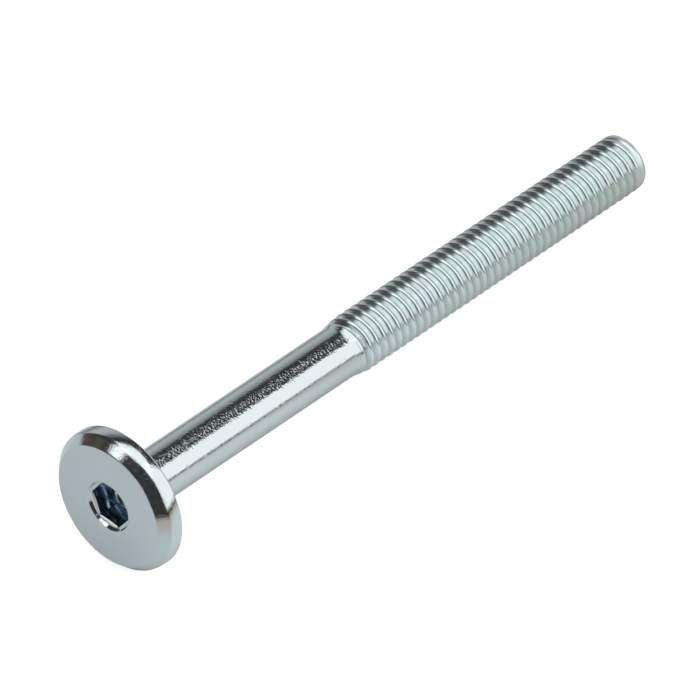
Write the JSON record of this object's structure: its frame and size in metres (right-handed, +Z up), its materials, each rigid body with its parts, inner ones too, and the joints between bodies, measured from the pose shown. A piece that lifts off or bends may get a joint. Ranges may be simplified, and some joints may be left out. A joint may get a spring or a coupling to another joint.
{
  "type": "furniture connector bolt",
  "caption": "Long bolt with a wide flat round head, bevelled rim, hex socket, plain shank and a fine thread on its far half.",
  "frame": {"origin": "middle of the lying bolt's box, on the floor it lies on", "axes": "+Z up; +X along the bolt from the head to the tip, seen from above; the bolt's own axis leans 3.7 degrees down towards the tip, because it lies on the head's rim and the thread's end"},
  "size_m": [0.0732, 0.0148, 0.0149],
  "materials": {
    "zinc_plating": "bright blue-white zinc plating on steel, with fine pits and rolling marks"
  },
  "bodies": {
    "root": {"connector_bolt": "zinc_plating"}
  },
  "joints": []
}
